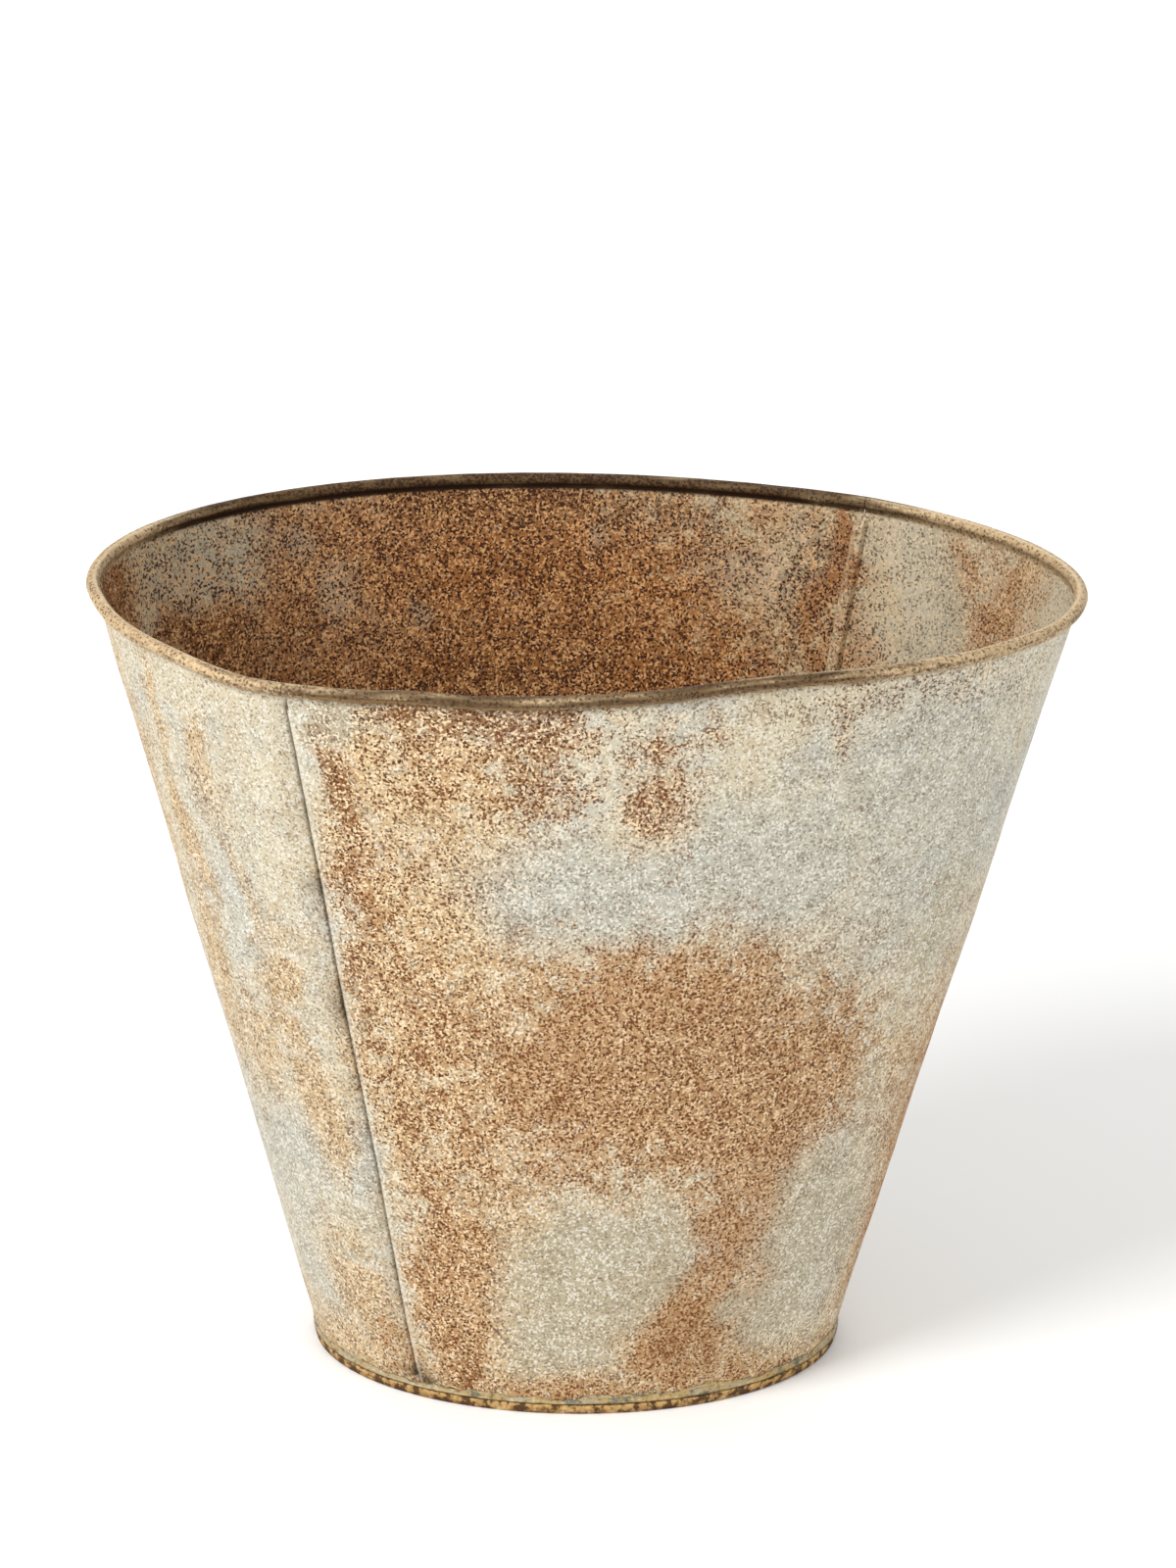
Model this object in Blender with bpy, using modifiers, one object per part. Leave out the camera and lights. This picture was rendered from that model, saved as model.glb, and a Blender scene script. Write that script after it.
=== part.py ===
"""Oval florist bucket of galvanised sheet steel, without handles.

Two half panels meet in two upright lock seams, front left and back right. Their top edges are curled
round a steel wire, and their bottom edges are hemmed and gripped by the channel of the base pan, which
a line of solder seals. +X runs along the oval, +Z is up, and the bucket stands on z = 0.
"""

import math

import bmesh
import bpy
from mathutils import Vector

# Driving dimensions, in metres. The wall is described by the middle of its sheet.
SHEET = 0.0005
GAP = 0.0003
RIM_HALF_LENGTH = 0.1966
RIM_HALF_WIDTH = 0.1295
RIM_HEIGHT = 0.3325
BASE_HALF_LENGTH = 0.1080
BASE_HALF_WIDTH = 0.0773
WIRE_RADIUS = 0.0018
BEAD_OFFSET = 0.0007
BASE_DEPTH = 0.005

# The rim bulges a little at its seams, and it rises and falls by a few millimetres.
SEAM_CORNER = 0.012
SEAM_CORNER_WIDTH = math.radians(10)
RIM_SADDLE = -0.0027
RIM_RIPPLE = -0.0012
RIM_FLUTTER = 0.00035

# Small bends of the rim: where each is, how far it spreads, and how far it lifts the rim.
RIM_BENDS = (
    (math.radians(188), math.radians(8), 0.0015),
    (math.radians(226), math.radians(9), -0.0020),
    (math.radians(249), math.radians(5), 0.0013),
    (math.radians(288), math.radians(9), 0.0016),
    (math.radians(318), math.radians(13), -0.0011),
    (math.radians(337), math.radians(8), -0.0010),
)

# Lock seams: the angle of the front one, the length of a hook, the groove beside it from its shoulder to
# its floor, and where the hooks stop.
SEAM_ANGLE = math.radians(232.9)
HOOK = 0.0024
LEAF_GAP = 0.000125
GROOVE_SHOULDER = 0.003
GROOVE_FLOOR = 0.001
SEAM_FOOT = 0.012
SEAM_TOP = 0.0095
FOOT_FADE = 0.007
TOP_FADE = 0.005
STEP_BACK = 0.001

# Foot: the heights of the hem and of the channel that grips it.
HEM_BOTTOM = 0.00135
HEM_TOP = 0.0031
HEM_GAP = 0.0001
HEM_PITCH = SHEET + HEM_GAP
LIP_TOP = 0.0040
KNUCKLE = 0.0012
CORNER = 0.0005

# Solder: how high its nose and its back edge stand over its foot, and how far the nose leans in.
SOLDER_NOSE = 0.0009
SOLDER_BACK = 0.0026
SOLDER_LEAN = 0.0003

# Facets round the oval, round the curl and round a fold.
STATIONS = 72
CURL_STEPS = 10
FOLD_STEPS = 4

PITCH = SHEET + GAP
WIRE_SLACK = 0.00005
CURL_RADIUS = WIRE_RADIUS + PITCH - SHEET / 2 + WIRE_SLACK
CURL_START = math.radians(240)
CURL_END = math.radians(-100)
NECK = 0.0034
LIP_OUT = HEM_PITCH + PITCH
SMALL = 1e-4
UP = Vector((0, 0, 1))


def bump(angle, centre, width):
    """A smooth rise round a centre angle, 1 at the centre itself."""
    away = (angle - centre + math.pi) % math.tau - math.pi
    return math.exp(-((away / width) ** 2))


def rim_line(angle):
    """Where the middle of the wall would reach the height of the rim's wire."""
    swell = 1
    for seam in (SEAM_ANGLE, SEAM_ANGLE + math.pi):
        swell += SEAM_CORNER * bump(angle, seam, SEAM_CORNER_WIDTH)
    height = RIM_HEIGHT + RIM_SADDLE * math.sin(2 * angle)
    height += RIM_RIPPLE * math.cos(3 * angle) + RIM_FLUTTER * math.sin(4 * angle)
    for centre, width, lift in RIM_BENDS:
        height += lift * bump(angle, centre, width)
    return Vector((
        RIM_HALF_LENGTH * swell * math.cos(angle),
        RIM_HALF_WIDTH * swell * math.sin(angle),
        height,
    ))


def base_line(angle):
    """The middle of the wall at the surface that the bucket stands on."""
    return Vector((BASE_HALF_LENGTH * math.cos(angle), BASE_HALF_WIDTH * math.sin(angle), 0))


def wall(angle, share):
    """A point in the middle of the wall, at a share of the way from the base to the rim."""
    return base_line(angle).lerp(rim_line(angle), share)


def across(angle, share):
    """The change of wall() with the angle."""
    return (wall(angle + SMALL, share) - wall(angle - SMALL, share)) / (2 * SMALL)


def axes(angle, share):
    """Unit vectors out of the wall and up along it."""
    along = across(angle, share).normalized()
    out = along.cross(rim_line(angle) - base_line(angle)).normalized()
    return out, out.cross(along)


def share_at(angle, height):
    return height / rim_line(angle).z


def share_below_rim(angle, distance):
    return 1 - distance / (rim_line(angle) - base_line(angle)).length


def bead_centre(angle):
    out, _ = axes(angle, 1)
    return rim_line(angle) + out * BEAD_OFFSET


def foot_point(angle, out, height):
    """A point of the foot: out from the wall, level, at a height above the ground."""
    level = across(angle, 0).cross(UP).normalized()
    return wall(angle, share_at(angle, height)) + level * out


def arc(centre, radius, start, end, steps):
    """Points of an arc as (x, y) pairs, both ends included."""
    turns = [start + (end - start) * step / steps for step in range(steps + 1)]
    return [(centre[0] + radius * math.cos(turn), centre[1] + radius * math.sin(turn)) for turn in turns]


def hem_profile():
    """Hem of a panel as (out, height), from the raw edge round to the wall."""
    half = HEM_PITCH / 2
    fold = arc((half, HEM_BOTTOM), half, 0, -math.pi, FOLD_STEPS)
    return [(HEM_PITCH, HEM_TOP)] + fold


def pan_profile():
    """Edge of the base pan as (out, height), from the floor down, out and up to the lip."""
    knuckle = arc((-PITCH - KNUCKLE, BASE_DEPTH - KNUCKLE), KNUCKLE, math.pi / 2, 0, 3)
    inner = arc((-PITCH + CORNER, SHEET / 2 + CORNER), CORNER, math.pi, 1.5 * math.pi, 2)
    outer = arc((LIP_OUT - CORNER, SHEET / 2 + CORNER), CORNER, -math.pi / 2, 0, 2)
    lip = arc((LIP_OUT - CORNER, LIP_TOP - CORNER), CORNER, 0, math.pi / 2, 2)
    return knuckle + inner + outer + lip + [(SHEET / 2 + GAP, LIP_TOP)]


def solder_profile():
    """Fillet between the lip and the wall as (out, height), closed."""
    back = SHEET / 2 + GAP
    foot = LIP_TOP + SHEET / 2 + GAP
    nose = (LIP_OUT - SOLDER_LEAN, foot + SOLDER_NOSE)
    return [(back, foot), (LIP_OUT, foot), nose, (back, foot + SOLDER_BACK), (back, foot)]


def outer_hook():
    """First edge of a panel as (along, depth): the return leaf and its fold, without the wall."""
    fold = arc((0, -PITCH), PITCH, -math.pi / 2, -1.5 * math.pi, FOLD_STEPS)
    return [(HOOK - LEAF_GAP, -2 * PITCH)] + fold


def inner_hook():
    """Last edge of a panel as (along, depth): under the next panel, round its leaf and back."""
    fold = arc((HOOK, -2 * PITCH), PITCH, -math.pi / 2, math.pi / 2, FOLD_STEPS)
    return fold + [(LEAF_GAP, -PITCH)]


def panel_columns(first_seam):
    """Columns of a panel as (angle, along, depth, is_hook), from its first edge to its last."""
    last_seam = first_seam + math.pi
    columns = [(first_seam, along, depth, True) for along, depth in outer_hook()]
    columns.append((first_seam, GAP / 2, 0, False))
    for station in range(1, STATIONS // 2):
        columns.append((first_seam + math.tau * station / STATIONS, 0, 0, False))
    steps = 4
    for step in range(steps + 1):
        fall = (1 - math.cos(math.pi * step / steps)) / 2
        back = GROOVE_SHOULDER + (GROOVE_FLOOR - GROOVE_SHOULDER) * step / steps
        columns.append((last_seam, -back, -3 * PITCH * fall, False))
    columns.append((last_seam, -GAP / 2, -3 * PITCH, False))
    columns += [(last_seam, along, depth, True) for along, depth in inner_hook()]
    return columns


def panel_rows():
    """Rows of a panel as (kind, a, b, seam): seam is 2 where hooks exist, 1 where the groove is full."""
    rows = [("foot", out, height, 0) for out, height in hem_profile()]
    rows.append(("height", SEAM_FOOT - FOOT_FADE, 0, 0))
    rows.append(("height", SEAM_FOOT - STEP_BACK, 0, 1))
    rows.append(("height", SEAM_FOOT, 0, 2))
    rows.append(("below", SEAM_TOP, 0, 2))
    rows.append(("below", SEAM_TOP - STEP_BACK, 0, 1))
    rows.append(("below", SEAM_TOP - TOP_FADE, 0, 0))
    rows.append(("below", NECK, 0, 0))
    for x, y in arc((0, 0), CURL_RADIUS, CURL_START, CURL_END, CURL_STEPS):
        rows.append(("curl", x, y, 0))
    return rows


def place_panel(column, row):
    """The point of a panel at a column and a row."""
    seam_angle, along, depth, _ = column
    kind, a, b, seam = row
    share = {"foot": 0, "curl": 1}.get(kind)
    if kind == "height":
        share = share_at(seam_angle, a)
    if kind == "below":
        share = share_below_rim(seam_angle, a)
    angle = seam_angle + along / across(seam_angle, share).length
    if kind == "foot":
        return foot_point(angle, a, b)
    out, up = axes(angle, share)
    if kind == "curl":
        return bead_centre(angle) + out * a + up * b
    return wall(angle, share) + out * (depth if seam else 0)


def grid_mesh(name, columns, rows, place, keep=None):
    """A flat grid of columns by rows, each of its points moved to where place() says."""
    mesh = bpy.data.meshes.new(name)
    bm = bmesh.new()
    bmesh.ops.create_grid(bm, x_segments=len(columns) - 1, y_segments=len(rows) - 1, size=1)
    index = {}
    for vert in bm.verts:
        column = round((vert.co.x + 1) / 2 * (len(columns) - 1))
        row = round((vert.co.y + 1) / 2 * (len(rows) - 1))
        index[vert] = (column, row)
    if keep:
        notches = [
            face
            for face in bm.faces
            if not keep([columns[index[v][0]] for v in face.verts], [rows[index[v][1]] for v in face.verts])
        ]
        bmesh.ops.delete(bm, geom=notches, context="FACES")
    for vert in bm.verts:
        column, row = index[vert]
        vert.co = place(columns[column], rows[row])
    bm.to_mesh(mesh)
    bm.free()
    return mesh


def close_ring(mesh, fill_height=None):
    """Welds the first and last columns, and fills the open edge at a height, if one is given."""
    bm = bmesh.new()
    bm.from_mesh(mesh)
    bmesh.ops.remove_doubles(bm, verts=bm.verts, dist=1e-6)
    if fill_height is not None:
        edge_loop = [e for e in bm.edges if e.is_boundary and e.verts[0].co.z > fill_height]
        bmesh.ops.contextual_create(bm, geom=edge_loop)
    bmesh.ops.recalc_face_normals(bm, faces=bm.faces)
    bm.to_mesh(mesh)
    bm.free()


def material(name, colour, roughness, metallic):
    made = bpy.data.materials.new(name)
    made.use_nodes = True
    shader = made.node_tree.nodes["Principled BSDF"]
    shader.inputs["Base Color"].default_value = (*colour, 1)
    shader.inputs["Roughness"].default_value = roughness
    shader.inputs["Metallic"].default_value = metallic
    return made


def add_node(name, data, finish, parent, collection, location=(0, 0, 0)):
    """An object of the bucket, standing at its place under the parent."""
    node = bpy.data.objects.new(name, data)
    node.location = location
    node.parent = parent
    data.materials.append(finish)
    collection.objects.link(node)
    return node


def make_sheet(node):
    """Gives an open surface the thickness of the sheet, half to each side."""
    node.data.shade_smooth()
    node.data.set_sharp_from_angle(angle=math.radians(40))
    solid = node.modifiers.new("sheet thickness", "SOLIDIFY")
    solid.thickness = SHEET
    solid.offset = 0
    solid.use_even_offset = True
    solid.use_quality_normals = True


def keep_panel_face(columns, rows):
    """Hooks exist only between the seam's foot and top: the blank is notched at its corners."""
    return not any(column[3] for column in columns) or all(row[3] == 2 for row in rows)


def make_panel(name, first_seam, finish, parent, collection):
    mesh = grid_mesh(name, panel_columns(first_seam), panel_rows(), place_panel, keep_panel_face)
    make_sheet(add_node(name, mesh, finish, parent, collection))


def ring_angles():
    return [SEAM_ANGLE + math.tau * station / STATIONS for station in range(STATIONS + 1)]


def place_foot(angle, point):
    return foot_point(angle, point[0], point[1])


def make_base_pan(finish, parent, collection):
    mesh = grid_mesh("base_pan", ring_angles(), pan_profile(), place_foot)
    close_ring(mesh, fill_height=BASE_DEPTH - SHEET / 4)
    make_sheet(add_node("base_pan", mesh, finish, parent, collection))


def make_base_solder(finish, parent, collection):
    mesh = grid_mesh("base_solder", ring_angles(), solder_profile(), place_foot)
    close_ring(mesh)
    mesh.shade_smooth()
    mesh.set_sharp_from_angle(angle=math.radians(40))
    add_node("base_solder", mesh, finish, parent, collection)


def curl_angles(first_seam):
    """Where the columns of a panel's curl stand, from one seam to the next."""
    body = [column for column in panel_columns(first_seam) if not column[3]]
    return [angle + along / across(angle, 1).length for angle, along, _, _ in body]


def make_rim_wire(finish, parent, collection):
    """The wire ring, cut at the back seam. It bends where the curl round it bends."""
    angles = curl_angles(SEAM_ANGLE - math.pi) + curl_angles(SEAM_ANGLE)
    curve = bpy.data.curves.new("rim_wire", "CURVE")
    curve.dimensions = "3D"
    curve.bevel_depth = WIRE_RADIUS
    curve.bevel_resolution = 2
    curve.use_fill_caps = True
    spline = curve.splines.new("POLY")
    spline.points.add(len(angles) - 1)
    location = Vector((0, 0, RIM_HEIGHT))
    for point, angle in zip(spline.points, angles):
        point.co = (*(bead_centre(angle) - location), 1)
    add_node("rim_wire", curve, finish, parent, collection, location)


def main():
    for obj in list(bpy.data.objects):
        bpy.data.objects.remove(obj)
    collection = bpy.data.collections.new("florist_bucket")
    bpy.context.scene.collection.children.link(collection)
    stand = bpy.data.objects.new("stand", None)
    collection.objects.link(stand)
    zinc = material("weathered_zinc", (0.46, 0.41, 0.32), 0.7, 0.35)
    zinc_back = material("weathered_zinc_back", (0.42, 0.34, 0.25), 0.72, 0.35)
    rust = material("rusted_base", (0.24, 0.15, 0.08), 0.8, 0.2)
    steel = material("wire_steel", (0.20, 0.16, 0.12), 0.6, 0.7)
    solder = material("dull_solder", (0.33, 0.33, 0.28), 0.65, 0.4)
    make_panel("front_panel", SEAM_ANGLE, zinc, stand, collection)
    make_panel("back_panel", SEAM_ANGLE + math.pi, zinc_back, stand, collection)
    make_base_pan(rust, stand, collection)
    make_rim_wire(steel, stand, collection)
    make_base_solder(solder, stand, collection)


main()
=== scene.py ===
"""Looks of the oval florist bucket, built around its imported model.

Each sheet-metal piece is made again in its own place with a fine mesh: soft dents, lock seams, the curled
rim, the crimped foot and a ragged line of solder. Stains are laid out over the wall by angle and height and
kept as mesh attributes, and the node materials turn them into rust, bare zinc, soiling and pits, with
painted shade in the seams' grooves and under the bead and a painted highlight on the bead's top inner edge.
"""
import math

import bmesh
import bpy
import numpy as np
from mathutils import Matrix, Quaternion, Vector, noise


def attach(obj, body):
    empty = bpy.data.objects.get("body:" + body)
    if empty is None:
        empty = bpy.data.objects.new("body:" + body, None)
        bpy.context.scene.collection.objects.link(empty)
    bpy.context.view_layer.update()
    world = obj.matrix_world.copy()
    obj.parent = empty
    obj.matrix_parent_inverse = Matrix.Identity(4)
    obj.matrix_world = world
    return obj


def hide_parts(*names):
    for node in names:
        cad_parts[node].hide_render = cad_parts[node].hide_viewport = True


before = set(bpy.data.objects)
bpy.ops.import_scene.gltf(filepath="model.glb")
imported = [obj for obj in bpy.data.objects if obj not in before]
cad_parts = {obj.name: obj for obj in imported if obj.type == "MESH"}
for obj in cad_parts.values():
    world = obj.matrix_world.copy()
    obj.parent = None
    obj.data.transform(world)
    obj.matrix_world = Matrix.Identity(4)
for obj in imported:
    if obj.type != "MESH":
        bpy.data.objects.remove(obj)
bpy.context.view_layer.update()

# The wall, in metres: the middle of its sheet runs straight from the base oval to the rim oval.
SHEET = 0.0005
GAP = 0.0003
PITCH = SHEET + GAP
RIM_HALF_LENGTH = 0.1966
RIM_HALF_WIDTH = 0.1295
RIM_HEIGHT = 0.3325
BASE_HALF_LENGTH = 0.1080
BASE_HALF_WIDTH = 0.0773
SEAM_CORNER = 0.012
SEAM_CORNER_WIDTH = math.radians(10)

# Waves of the rim's height, two, three and four times round the oval.
RIM_SADDLE = -0.0027
RIM_RIPPLE = -0.0012
RIM_FLUTTER = 0.00035

# Small bends of the rim by hand: angle and half width in degrees, lift in metres.
RIM_BENDS = (
    (188, 8, 0.0015),
    (226, 9, -0.0020),
    (249, 5, 0.0013),
    (288, 9, 0.0016),
    (318, 13, -0.0011),
    (337, 8, -0.0010),
)

# Dents of the wall: long soft ones and small ones on them, none close to the rim and the foot.
LONG_DENT = 0.0007
LONG_DENT_SIZE = 0.075
SMALL_DENT = 0.00016
SMALL_DENT_SIZE = 0.018

# Curled rim round its wire.
WIRE_RADIUS = 0.0018
WIRE_SIDES = 12
WIRE_END_TURN = 0.002
BEAD_OFFSET = 0.0007
CURL_PLAY = 0.00005
CURL_RADIUS = WIRE_RADIUS + PITCH - SHEET / 2 + CURL_PLAY
CURL_START = math.radians(240)
CURL_END = math.radians(-100)
CURL_UNEVENNESS = 0.04
NECK = 0.0034

# Lock seams: the edges of the panels hook into each other, beside a shallow groove that shows outside.
SEAM_ANGLE = math.radians(232.9)
SEAMS = (SEAM_ANGLE, SEAM_ANGLE + math.pi)
HOOK = 0.0024
LEAF_GAP = 0.000125
GROOVE_SHOULDER = 0.003
GROOVE_FLOOR = 0.001
SEAM_FOOT = 0.012
SEAM_TOP = 0.0095
FOOT_FADE = 0.007
TOP_FADE = 0.005
STEP_BACK = 0.001
FOLD_BACK = (GAP / 2, 0.0008, 0.0016)

# Foot: hem, and the base pan with the channel that grips it.
BASE_DEPTH = 0.005
HEM_BOTTOM = 0.00135
HEM_TOP = 0.0031
WALL_START = 0.0032
HEM_PITCH = SHEET + 0.0001
LIP_TOP = 0.0040
LIP_OUT = HEM_PITCH + PITCH
KNUCKLE = 0.0012
CORNER = 0.0005
LIP_CRIMP = 0.00018
LIP_WAVE = 0.00035
FLOOR_WAVE = 0.0003
FLOOR_SAG = 0.0001

# Solder over the joint of wall and lip: where its crest is, and how ragged and how lumpy it is.
SOLDER_CLEARANCE = 0.0001
SOLDER_LIFT = 0.00015
SOLDER_TOP = 0.0078
SOLDER_RAGGED = 0.0024
SOLDER_LUMPS = 0.00022
SOLDER_CREST = 0.00035
SOLDER_EDGE = 0.0003

# Fineness of the meshes.
STATIONS = 400
BASE_STATIONS = 720
SOLDER_STATIONS = 1100
SOLDER_STEPS = 11
FLOOR_RINGS = 25
CURL_STEPS = 22
FOLD_STEPS = 6
LEAF_STEPS = 4
GROOVE_STEPS = 12
CORNER_STEPS = 5
ROW_STEP = 0.0024
FINE_ROW_STEP = 0.0012
SHARP_TURN = math.radians(50)
SMALL_TURN = 1e-4
SAME_PLACE = 1e-7
FLOOR_HOLE = 0.02
UP = np.array((0.0, 0.0, 1.0))

# How far the outlines of the stains wander: in degrees, in share of the height, and the size of the waves.
WANDER_TURN = 5
WANDER_RISE = 0.035
WANDER_SIZE = 0.05

# Dark spots on the seams: share of the height, half height and strength.
SEAM_SPOTS = (
    (0.84, 0.02, 0.5),
    (0.735, 0.018, 1.3),
    (0.58, 0.05, 1.1),
    (0.46, 0.02, 0.5),
)

# Pale scratches across the wall beside the front seam: angle, share of the height, half width in degrees.
SCRATCHES = (
    (224, 0.625, 5),
    (222, 0.54, 5),
    (219, 0.475, 3),
    (226, 0.275, 5),
    (227, 0.185, 5),
)

# Thin dark crease inside the back wall, as an angle in degrees.
INSIDE_CREASE = 134.7

# Dark stretches of the bead, along the back and the front, of darker rust and, along the back, painted
# shade: where their middles are and how far they reach.
BACK_MIDDLE = math.radians(101)
BACK_REACH = math.radians(53)
FRONT_MIDDLE = math.radians(268)
FRONT_REACH = math.radians(42)

# Stains as soft ovals: angle in degrees, share of the height, half width in degrees, half height, strength.
OUTSIDE_STAINS = {
    "umber": (
        (237.5, 0.88, 3, 0.06, 0.9),
        (236.5, 0.66, 2, 0.16, 0.5),
        (255, 0.97, 12, 0.035, 0.9),
        (262, 0.90, 4, 0.05, 0.5),
        (278, 0.86, 3, 0.05, 0.5),
        (300, 0.95, 2, 0.04, 0.4),
        (246, 0.06, 5, 0.05, 0.5),
        (292, 0.10, 9, 0.05, 0.5),
        (60, 0.60, 12, 0.08, 0.6),
        (102, 0.28, 8, 0.12, 0.6),
        (140, 0.90, 6, 0.08, 0.5),
    ),
    "rust": (
        (279, 0.50, 27, 0.18, 1.0),
        (298, 0.43, 21, 0.19, 0.9),
        (250, 0.48, 14, 0.20, 0.6),
        (296, 0.20, 8, 0.18, 0.8),
        (287, 0.07, 14, 0.06, 0.8),
        (244, 0.18, 9, 0.26, 0.8),
        (293, 0.14, 18, 0.11, 0.8),
        (302, 0.28, 8, 0.14, 0.75),
        (352, 0.28, 22, 0.24, 0.65),
        (238, 0.76, 5, 0.24, 0.7),
        (247, 0.58, 12, 0.16, 0.45),
        (226, 0.06, 9, 0.06, 0.5),
        (257, 0.92, 14, 0.08, 0.5),
        (279, 0.86, 5, 0.09, 0.6),
        (285, 0.02, 50, 0.05, 0.65),
        (60, 0.62, 30, 0.16, 0.9),
        (96, 0.30, 24, 0.20, 0.8),
        (140, 0.75, 18, 0.12, 0.6),
        (20, 0.22, 18, 0.14, 0.6),
        (85, 0.90, 16, 0.07, 0.6),
        (118, 0.08, 26, 0.06, 0.8),
        (40, 0.06, 24, 0.07, 0.8),
        (160, 0.36, 6, 0.16, 0.6),
        (78, 0.44, 14, 0.06, 0.7),
    ),
    "ochre": (
        (250, 0.50, 18, 0.50, 0.9),
        (270, 0.02, 120, 0.07, 1.0),
        (290, 0.50, 40, 0.24, 0.7),
        (249, 0.88, 14, 0.14, 0.8),
        (246, 0.16, 14, 0.24, 0.9),
        (290, 0.10, 24, 0.12, 0.9),
        (318, 0.50, 10, 0.10, 0.6),
        (328, 0.45, 14, 0.09, 0.8),
        (340, 0.30, 20, 0.34, 0.8),
        (204, 0.88, 2.5, 0.14, 0.7),
        (204, 0.74, 4, 0.08, 0.9),
        (200, 0.52, 7, 0.20, 0.8),
        (216, 0.84, 3, 0.08, 0.95),
        (213, 0.70, 1.5, 0.10, 0.8),
        (219, 0.56, 6, 0.12, 0.95),
        (222, 0.40, 7, 0.09, 0.9),
        (209, 0.46, 8, 0.10, 0.7),
        (222, 0.13, 12, 0.12, 0.9),
        (184, 0.60, 8, 0.40, 0.8),
        (190, 0.80, 7, 0.20, 0.7),
        (258, 0.20, 7, 0.08, 0.7),
        (64, 0.58, 36, 0.22, 0.6),
        (112, 0.40, 26, 0.28, 0.6),
        (150, 0.20, 20, 0.16, 0.6),
        (26, 0.50, 10, 0.34, 0.5),
        (90, 0.02, 120, 0.07, 1.0),
        (88, 0.86, 26, 0.10, 0.8),
        (124, 0.66, 8, 0.20, 0.7),
        (46, 0.30, 9, 0.22, 0.8),
    ),
    "blue": (
        (272, 0.74, 20, 0.06, 0.9),
        (294, 0.76, 16, 0.10, 0.8),
        (316, 0.86, 20, 0.14, 0.7),
        (229, 0.34, 4, 0.06, 0.8),
        (214, 0.74, 6, 0.12, 0.45),
        (208, 0.28, 12, 0.12, 0.6),
        (205, 0.12, 9, 0.06, 0.6),
        (322, 0.76, 26, 0.16, 0.7),
        (328, 0.20, 10, 0.14, 0.7),
        (318, 0.22, 12, 0.14, 0.7),
        (125, 0.86, 26, 0.10, 0.7),
        (36, 0.84, 20, 0.10, 0.7),
        (165, 0.48, 12, 0.20, 0.6),
    ),
    "pale": (
        (269, 0.22, 16, 0.075, 1.0),
        (263, 0.12, 10, 0.06, 0.9),
        (281, 0.23, 9, 0.06, 1.0),
        (239.5, 0.97, 5, 0.04, 0.9),
        (327, 0.21, 8, 0.10, 0.7),
        (318, 0.24, 12, 0.10, 0.9),
        (312, 0.12, 12, 0.05, 0.8),
        (301, 0.14, 5, 0.035, 0.8),
        (331, 0.64, 7, 0.10, 0.7),
        (321, 0.44, 6, 0.05, 0.5),
        (222, 0.62, 9, 0.02, 0.5),
        (224, 0.53, 7, 0.015, 0.5),
        (225, 0.27, 8, 0.02, 0.6),
        (223, 0.20, 9, 0.015, 0.6),
        (80, 0.14, 18, 0.07, 0.9),
        (128, 0.56, 12, 0.12, 0.8),
    ),
    "pits": (
        (237.5, 0.76, 4.5, 0.22, 1.0),
        (256, 0.92, 16, 0.10, 1.0),
        (279, 0.87, 5, 0.08, 0.9),
        (246, 0.68, 14, 0.16, 0.7),
        (246, 0.46, 14, 0.18, 0.8),
        (290, 0.46, 28, 0.15, 0.6),
        (243, 0.20, 9, 0.24, 0.7),
        (300, 0.94, 3, 0.06, 0.6),
        (308, 0.97, 24, 0.05, 0.45),
        (66, 0.60, 26, 0.14, 0.7),
        (98, 0.28, 20, 0.16, 0.6),
        (115, 0.88, 30, 0.10, 0.7),
        (30, 0.90, 20, 0.08, 0.6),
    ),
}

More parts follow.
